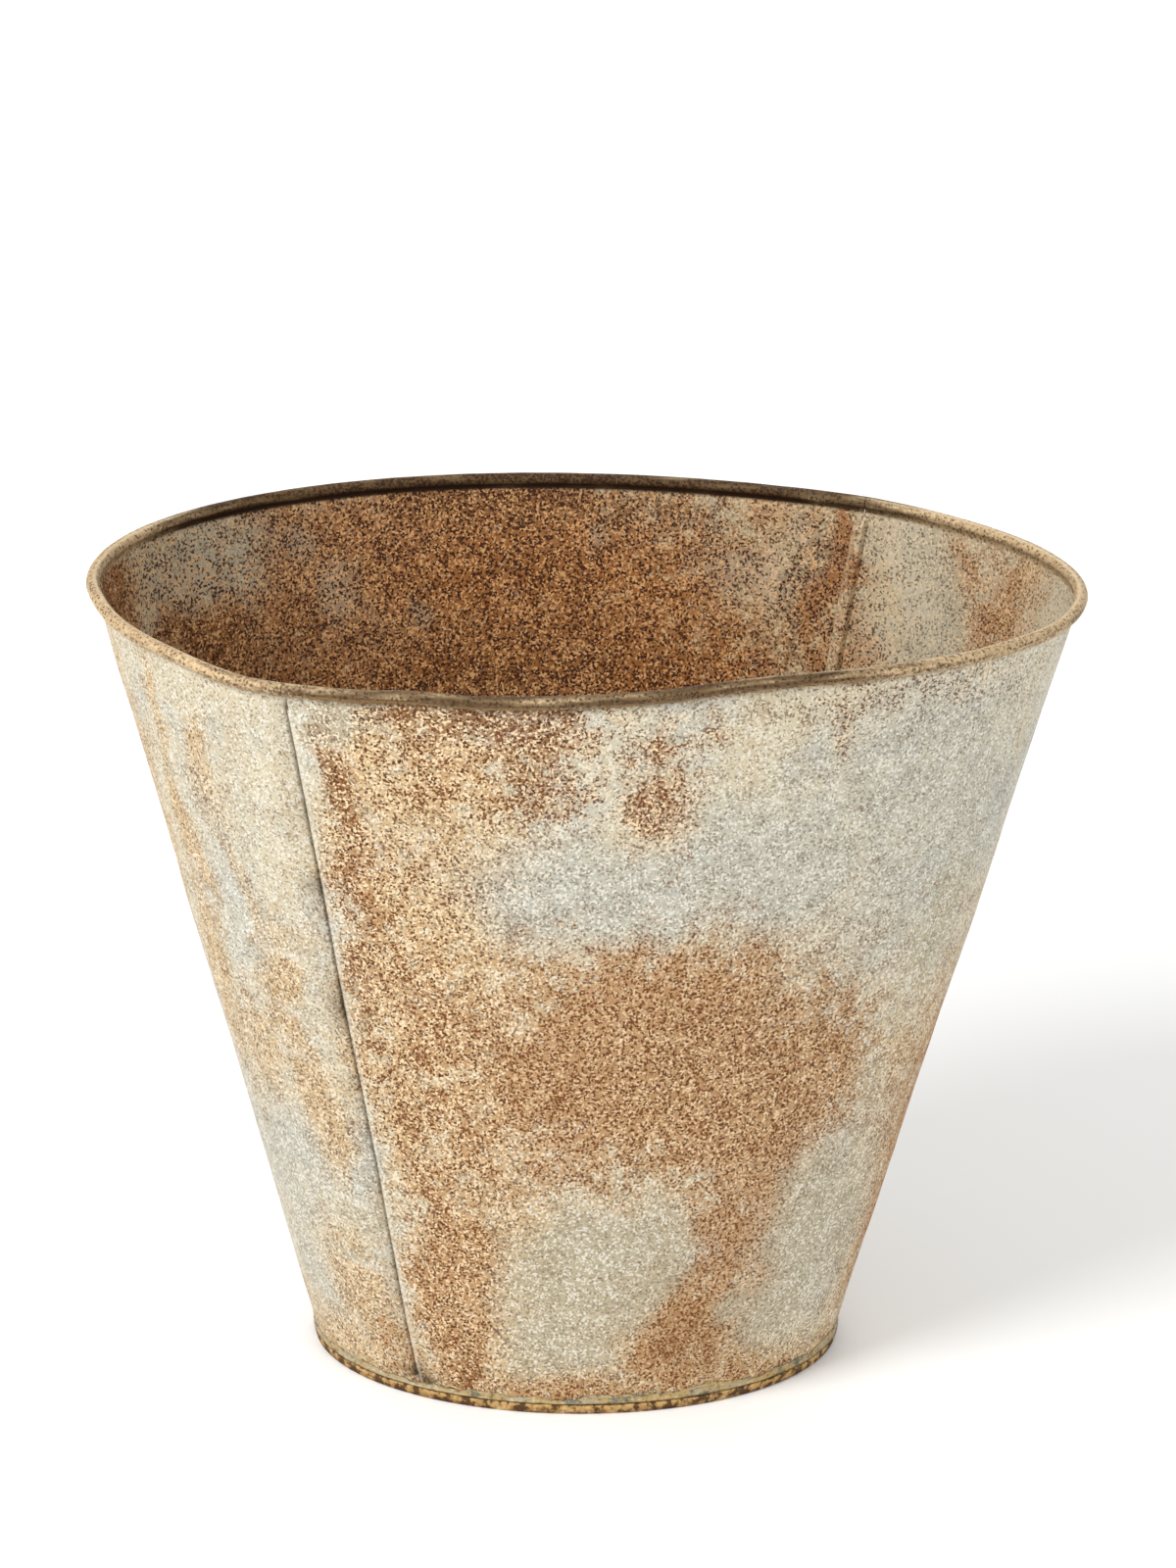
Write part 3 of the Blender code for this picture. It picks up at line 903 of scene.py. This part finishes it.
# On each side of the wall the last colour darkens it for soiling, and also for painted shade in the seams'
# grooves and painted shadow under the bead.
OUTSIDE_COLOURS = {
    "zinc": rgb(200, 196, 182),
    "cream": rgb(216, 203, 174),
    "ochre": rgb(208, 174, 124),
    "rust": rgb(182, 138, 92),
    "blue": rgb(188, 188, 178),
    "pale": rgb(190, 178, 150),
    "umber": rgb(120, 74, 30),
    "pit": rgb(58, 22, 0),
    "rust pit": rgb(120, 66, 20),
    "zinc pit": rgb(136, 126, 106),
    "fleck": rgb(250, 222, 180),
    "zinc fleck": rgb(236, 232, 218),
    "soiling_and_shade": rgb(86, 64, 36),
}
INSIDE_COLOURS = {
    "zinc": rgb(192, 180, 154),
    "cream": rgb(202, 180, 142),
    "ochre": rgb(186, 120, 52),
    "rust": rgb(156, 98, 46),
    "blue": rgb(182, 175, 154),
    "pale": rgb(214, 204, 180),
    "umber": rgb(90, 56, 24),
    "pit": rgb(36, 6, 0),
    "rust pit": rgb(64, 26, 2),
    "zinc pit": rgb(112, 86, 52),
    "fleck": rgb(230, 178, 122),
    "zinc fleck": rgb(228, 208, 172),
    "soiling_and_shade": rgb(48, 28, 10),
}
# Bead colours: "deep" is darker rust and also painted shade along the back, "bright" also the painted
# highlight on the top inner edge, "pit" also the painted shadow in the crease under the bead inside.
BEAD_COLOURS = {
    "deep": rgb(70, 42, 16),
    "dark": rgb(108, 84, 52),
    "light": rgb(206, 176, 134),
    "outer": rgb(88, 62, 34),
    "bright": rgb(228, 206, 168),
    "ochre": rgb(170, 128, 74),
    "pit": rgb(40, 18, 2),
}
BASE_COLOURS = {
    "brown": rgb(136, 100, 54),
    "tan": rgb(166, 130, 82),
    "scale": rgb(80, 50, 20),
    "flake": rgb(228, 196, 148),
    "pit": rgb(70, 42, 16),
    "worn": rgb(224, 182, 116),
}
# The "joint" colour is painted shadow in the gap where the solder meets the lip.
SOLDER_COLOURS = {
    "dull": rgb(184, 170, 138),
    "ochre": rgb(192, 164, 108),
    "ridge": rgb(108, 112, 102),
    "speck": rgb(104, 82, 48),
    "fleck": rgb(226, 210, 176),
    "joint": rgb(84, 62, 34),
}
WIRE_COLOURS = {
    "steel": rgb(84, 72, 58),
    "rust": rgb(138, 88, 48),
}
FLOOR_COLOURS = {
    "pale": (0.93, 0.93, 0.92, 1),
    "paler": (0.95, 0.95, 0.94, 1),
}

# How gradually each kind of stain ends, in the order in which the wall's finish reads them.
STAIN_SOFTNESS = {
    "rust": 0.40,
    "ochre": 0.48,
    "blue": 0.42,
    "pale": 0.36,
    "umber": 0.50,
}


def wall_grain(f):
    """The noises that the layers of the wall's finish share, by name."""
    fine = f.noise(1100, 2, 0.6, shift=2)
    return {
        "edge": f.noise(110, 4, 0.65, shift=3),
        "ragged": f.noise(800, 3, 0.65, shift=5),
        "clusters": f.noise(120, 4, 0.7, shift=7),
        "specks": f.math("ADD", f.cells(640), f.band(fine, 0, 1, -0.75, 0.75)),
        "grit": f.math("ADD", f.cells(560, shift=3), f.band(fine, 0, 1, 0.75, -0.75)),
    }


def wall_stains(f, side, grain):
    """Strength of each kind of stain with a torn edge, by name."""
    broad = f.band(grain["edge"], 0, 1, -0.5, 0.5)
    tear = f.math("ADD", broad, f.band(grain["ragged"], 0, 1, -0.55, 0.55))
    stains = {}
    for kind, softness in STAIN_SOFTNESS.items():
        torn = f.math("ADD", f.attribute(f"{side} {kind}"), tear)
        stains[kind] = f.band(torn, 0.5 - softness, 0.5 + softness)
    return stains


def stained_metal(f, stains, colours):
    """Colour of the metal under its stains, without pits and dirt."""
    cloud = f.noise(26, 4, 0.6, shift=9)
    streak = f.noise(60, 3, 0.6, stretch=(1, 1, 0.12), shift=1)
    smear = f.noise(30, 3, 0.6, stretch=(0.25, 0.25, 2.2), shift=4)
    colour = f.mix(f.band(cloud, 0.34, 0.60), colours["zinc"], colours["cream"])
    colour = f.mix(f.band(smear, 0.5, 0.72, 0, 0.5), colour, colours["cream"])
    colour = f.mix(f.band(streak, 0.52, 0.75, 0, 0.4), colour, colours["ochre"])
    layers = {
        "ochre": 0.85,
        "blue": 0.8,
        "rust": f.band(stains["blue"], 0, 1, 0.9, 0.5),
        "pale": 0.9,
        "umber": 0.65,
    }
    for kind, cover in layers.items():
        colour = f.mix(f.math("MULTIPLY", stains[kind], cover), colour, colours[kind])
    return colour


def wall_wear(f, grain, stains, pits):
    """How worn the metal is: little on clean zinc and in pale patches, most in rust and umber."""
    in_rust = f.math("MULTIPLY", stains["rust"], 0.8)
    in_pits = f.math("MULTIPLY", pits, f.band(grain["edge"], 0.3, 0.55))
    wear = f.math("MAXIMUM", in_rust, in_pits)
    wear = f.math("MAXIMUM", wear, f.math("MULTIPLY", stains["ochre"], 0.4))
    wear = f.math("MULTIPLY", wear, f.band(stains["pale"], 0, 1, 1, 0.4))
    return f.math("MAXIMUM", wear, stains["umber"])


def pitted(f, colour, grain, plain_rust, wear, colours):
    """Adds pits and flecks, faint on clean zinc, dark and many where it is worn. Also returns the pits."""
    crowd = f.band(grain["clusters"], 0.30, 0.70, -0.13, 0.13)
    dense = f.math("MULTIPLY", crowd, f.band(plain_rust, 0, 1, 1, 0.2))
    size = f.math("ADD", f.value_mix(wear, 0.32, 0.46), dense)
    pit = f.band(f.math("SUBTRACT", size, grain["specks"]), 0.0, 0.09)
    fleck_size = f.math("SUBTRACT", 0.36, dense)
    fleck = f.band(f.math("SUBTRACT", fleck_size, grain["grit"]), 0.0, 0.10)
    fleck = f.math("MULTIPLY", fleck, f.band(plain_rust, 0, 1, 0.9, 0.4))
    brown = f.math("MAXIMUM", plain_rust, f.band(grain["clusters"], 0.38, 0.60, 0, 0.9))
    dark_pit = f.mix(brown, colours["pit"], colours["rust pit"])
    pit_colour = f.mix(f.band(wear, 0.0, 0.7), colours["zinc pit"], dark_pit)
    fleck_colour = f.mix(f.band(wear, 0.0, 0.7), colours["zinc fleck"], colours["fleck"])
    colour = f.mix(fleck, colour, fleck_colour)
    colour = f.mix(f.math("MULTIPLY", pit, f.band(wear, 0, 0.5, 0.7, 0.95)), colour, pit_colour)
    return colour, pit


def wall_finish(name, side, colours):
    """Weathered zinc with rust and pits, after the stain attributes of one side of the wall."""
    f = Finish(name)
    grain = wall_grain(f)
    stains = wall_stains(f, side, grain)
    pits = f.attribute(f"{side} pits")
    soiling_and_shade = f.attribute(f"{side} grime")
    plain_rust = f.math("SUBTRACT", stains["rust"], pits)
    wear = wall_wear(f, grain, stains, pits)

    colour = stained_metal(f, stains, colours)
    colour, pit = pitted(f, colour, grain, plain_rust, wear, colours)
    # Soiling, with painted shade in the seams' grooves and painted shadow under the bead; plain darkening
    # towards the foot.
    soiled_and_shaded = f.math("MULTIPLY", soiling_and_shade, f.band(grain["ragged"], 0.3, 0.6, 0.6, 1.0))
    colour = f.mix(soiled_and_shaded, colour, colours["soiling_and_shade"])
    colour = f.mix(f.attribute(f"{side} worn"), colour, colours["zinc fleck"])
    if side == "inside":
        colour = f.mix(f.attribute("bead"), colour, bead_crust(f, grain["specks"]))

    roughness = f.value_mix(wear, 0.55, 0.85)
    roughness = f.math("ADD", roughness, f.band(grain["ragged"], 0.3, 0.7, -0.08, 0.08))
    metallic = f.value_mix(f.math("MAXIMUM", wear, soiling_and_shade), 0.25, 0.0)
    height = f.math("SUBTRACT", f.math("MULTIPLY", grain["ragged"], 0.35), f.math("MULTIPLY", pit, wear))
    return f.finish(colour, roughness, metallic, f.bump(height, 0.0003, 0.6))


def bead_crust(f, specks):
    """Rust on the curled rim: a dark band along its outer side, ochre below it, a painted highlight on its
    top inner edge, darker rust with painted shade along the back and painted shadow in the crease under it
    inside.
    """
    curl = f.attribute("curl")
    grain = f.attribute("bead grain")
    line = f.math("ADD", curl, f.math("MULTIPLY", grain, 0.12))
    # Darker rust, and along the back painted shade, where the bead shade is high.
    shade = f.math("ADD", f.attribute("bead shade"), f.math("MULTIPLY", grain, 0.4))
    crust = f.mix(f.band(shade, 0.1, 0.9), BEAD_COLOURS["light"], BEAD_COLOURS["dark"])
    crust = f.mix(f.band(shade, 0.7, 1.1), crust, BEAD_COLOURS["deep"])
    outer = f.math("MULTIPLY", f.band(line, 0.63, 0.67), f.band(line, 0.76, 0.72))
    outer = f.math("MULTIPLY", outer, f.band(shade, 0.1, 0.5, 0.1, 0.7))
    crust = f.mix(outer, crust, BEAD_COLOURS["outer"])
    crust = f.mix(f.band(line, 0.74, 0.78, 0, 0.6), crust, BEAD_COLOURS["ochre"])
    crust = f.mix(f.band(specks, 0.34, 0.20, 0, 0.75), crust, BEAD_COLOURS["pit"])
    bright = f.math("MULTIPLY", f.band(specks, 0.70, 0.85), f.band(shade, 0.9, 0.4, 0, 0.6))
    crust = f.mix(bright, crust, BEAD_COLOURS["bright"])
    flakes = f.math("MULTIPLY", f.band(specks, 0.55, 0.75), f.band(shade, 0.5, 0.9, 0, 0.8))
    crust = f.mix(flakes, crust, BEAD_COLOURS["dark"])
    # Painted highlight along the top of the bead's inner edge, which faces up, weaker where the bead is
    # shaded.
    inner = f.math("MULTIPLY", f.band(curl, 0.28, 0.33), f.band(curl, 0.42, 0.36))
    inner = f.math("MULTIPLY", inner, f.band(shade, 0.9, 0.3, 0, 0.6))
    crust = f.mix(inner, crust, BEAD_COLOURS["bright"])
    # Painted shadow in the crease where the bead meets the inside wall, stronger where the bead shade is
    # high.
    crease = f.math("MULTIPLY", f.band(curl, 0.15, 0.03), f.band(shade, 0.3, 1.0, 0.3, 0.95))
    return f.mix(crease, crust, BEAD_COLOURS["pit"])


def base_finish():
    """Rusted base pan: ochre and brown scale."""
    f = Finish("rusted_base_scale")
    flakes = f.noise(260, 4, 0.65)
    speckle = f.noise(600, 3, 0.7, shift=2)
    cloud = f.noise(40, 3, 0.6, shift=8)
    colour = f.mix(f.band(cloud, 0.38, 0.62), BASE_COLOURS["brown"], BASE_COLOURS["tan"])
    colour = f.mix(f.band(flakes, 0.55, 0.43), colour, BASE_COLOURS["scale"])
    colour = f.mix(f.band(flakes, 0.56, 0.68, 0, 0.8), colour, BASE_COLOURS["flake"])
    colour = f.mix(f.band(speckle, 0.44, 0.34, 0, 0.8), colour, BASE_COLOURS["pit"])
    edge = f.math("MULTIPLY", f.attribute("worn edge"), f.band(flakes, 0.44, 0.56, 0.05, 0.7))
    colour = f.mix(edge, colour, BASE_COLOURS["worn"])
    roughness = f.band(flakes, 0.3, 0.7, 0.75, 0.95)
    normal = f.bump(flakes, 0.0004, 0.7)
    return f.finish(colour, roughness, 0.05, normal)


def solder_finish():
    """Dull solder, stained ochre, with dark blue-grey ridges, and with painted shadow in the gap where it
    meets the lip.
    """
    f = Finish("smeared_solder")
    rise = f.attribute("rise")
    cloud = f.noise(70, 4, 0.6)
    speckle = f.noise(560, 3, 0.7, shift=2)
    marks = f.noise(120, 4, 0.65, stretch=(1, 1, 2.5), shift=7)
    colour = f.mix(f.band(cloud, 0.40, 0.60), SOLDER_COLOURS["dull"], SOLDER_COLOURS["ochre"])
    colour = f.mix(f.band(marks, 0.52, 0.62, 0, 0.8), colour, SOLDER_COLOURS["ridge"])
    colour = f.mix(f.band(speckle, 0.45, 0.35, 0, 0.7), colour, SOLDER_COLOURS["speck"])
    colour = f.mix(f.band(speckle, 0.56, 0.66, 0, 0.7), colour, SOLDER_COLOURS["fleck"])
    # Painted shadow in the gap just above the lip, at the foot of the solder.
    colour = f.mix(f.band(rise, 0.22, 0.0, 0, 0.85), colour, SOLDER_COLOURS["joint"])
    roughness = f.band(cloud, 0.3, 0.7, 0.5, 0.75)
    normal = f.bump(marks, 0.0005, 0.6)
    return f.finish(colour, roughness, 0.3, normal)


def wire_finish():
    """Dark steel wire with rust blooms."""
    f = Finish("rusted_wire")
    blooms = f.noise(300, 3, 0.6)
    colour = f.mix(f.band(blooms, 0.42, 0.6), WIRE_COLOURS["steel"], WIRE_COLOURS["rust"])
    roughness = f.band(blooms, 0.4, 0.6, 0.45, 0.9)
    metallic = f.band(blooms, 0.6, 0.4, 0.0, 0.8)
    return f.finish(colour, roughness, metallic, f.bump(blooms, 0.0002, 0.5))


# --- Floor, light and camera --------------------------------------------------------------------------

CAMERA_DISTANCE = 2.368
CAMERA_ELEVATION = math.radians(23.58)
CAMERA_TURN = math.radians(2.47)
CAMERA_ROLL = 0.0164
CAMERA_TARGET = (0, 0, 0.1662)
CAMERA_LENS = 132.28
CAMERA_SHIFT_ACROSS = 0.0039
CAMERA_SHIFT_UP = 0.1159
SENSOR = 36.0
SKY_STRENGTH = 0.68
FLOOR_REACH = 8.0


def make_camera():
    """A long lens that stands in front, above and a little to the left."""
    data = bpy.data.cameras.new("camera")
    data.sensor_width = SENSOR
    data.lens = CAMERA_LENS
    data.shift_x = CAMERA_SHIFT_ACROSS
    data.shift_y = CAMERA_SHIFT_UP
    level = CAMERA_DISTANCE * math.cos(CAMERA_ELEVATION)
    away = Vector((
        -level * math.sin(CAMERA_TURN),
        -level * math.cos(CAMERA_TURN),
        CAMERA_DISTANCE * math.sin(CAMERA_ELEVATION),
    ))
    camera = bpy.data.objects.new("camera", data)
    camera.rotation_mode = "QUATERNION"
    camera.rotation_quaternion = (-away).to_track_quat("-Z", "Y") @ Quaternion((0, 0, 1), CAMERA_ROLL)
    camera.location = away + Vector(CAMERA_TARGET)
    bpy.context.scene.collection.objects.link(camera)
    bpy.context.scene.camera = camera


def add_light(name, location, size, power, aim=(0, 0, 0.15)):
    """A round soft lamp, aimed at the middle of the bucket unless told otherwise."""
    data = bpy.data.lights.new(name, "AREA")
    data.shape = "DISK"
    data.size = size
    data.energy = power
    light = bpy.data.objects.new(name, data)
    light.location = location
    light.rotation_mode = "QUATERNION"
    light.rotation_quaternion = (Vector(aim) - Vector(location)).to_track_quat("-Z", "Y")
    bpy.context.scene.collection.objects.link(light)


def floor_finish():
    """Pale floor, very faintly mottled."""
    f = Finish("pale_floor")
    mottle = f.noise(3, 2, 0.5)
    colour = f.mix(mottle, FLOOR_COLOURS["pale"], FLOOR_COLOURS["paler"])
    return f.finish(colour, 0.9, 0.0, f.bump(mottle, 0.0001, 1.0))


def make_floor():
    corner = np.linspace(-FLOOR_REACH, FLOOR_REACH, 9)
    points = vectors(corner[:, None], corner[None, :], 0.0)
    mesh = grid_mesh("floor", points)
    mesh.materials.append(floor_finish())
    floor = bpy.data.objects.new("floor", mesh)
    bpy.context.scene.collection.objects.link(floor)


def make_studio():
    """Soft light all around, a large lamp at the left, a weak one at the right, one on the backdrop."""
    world = bpy.data.worlds.new("studio")
    world.use_nodes = True
    background = world.node_tree.nodes["Background"]
    background.inputs["Color"].default_value = (1, 1, 1, 1)
    background.inputs["Strength"].default_value = SKY_STRENGTH
    bpy.context.scene.world = world
    bpy.context.scene.view_settings.view_transform = "Standard"
    add_light("key", (-2.2, -1.6, 2.4), size=1.6, power=95)
    add_light("fill", (1.8, -2.4, 1.4), size=2.0, power=23)
    add_light("backdrop", (0.4, 2.9, 2.4), size=2.4, power=34, aim=(0.4, 3.0, 0))


def main():
    outside = wall_finish("weathered_zinc_outside", "outside", OUTSIDE_COLOURS)
    inside = wall_finish("weathered_zinc_inside", "inside", INSIDE_COLOURS)
    make_panel("front_panel_sheet", "front_panel", SEAMS[0], "weathered_zinc", outside, inside)
    make_panel("back_panel_sheet", "back_panel", SEAMS[1], "weathered_zinc_back", outside, inside)
    make_base_pan(base_finish())
    make_rim_wire(wire_finish())
    make_base_solder(solder_finish())
    make_camera()
    make_studio()
    make_floor()


main()
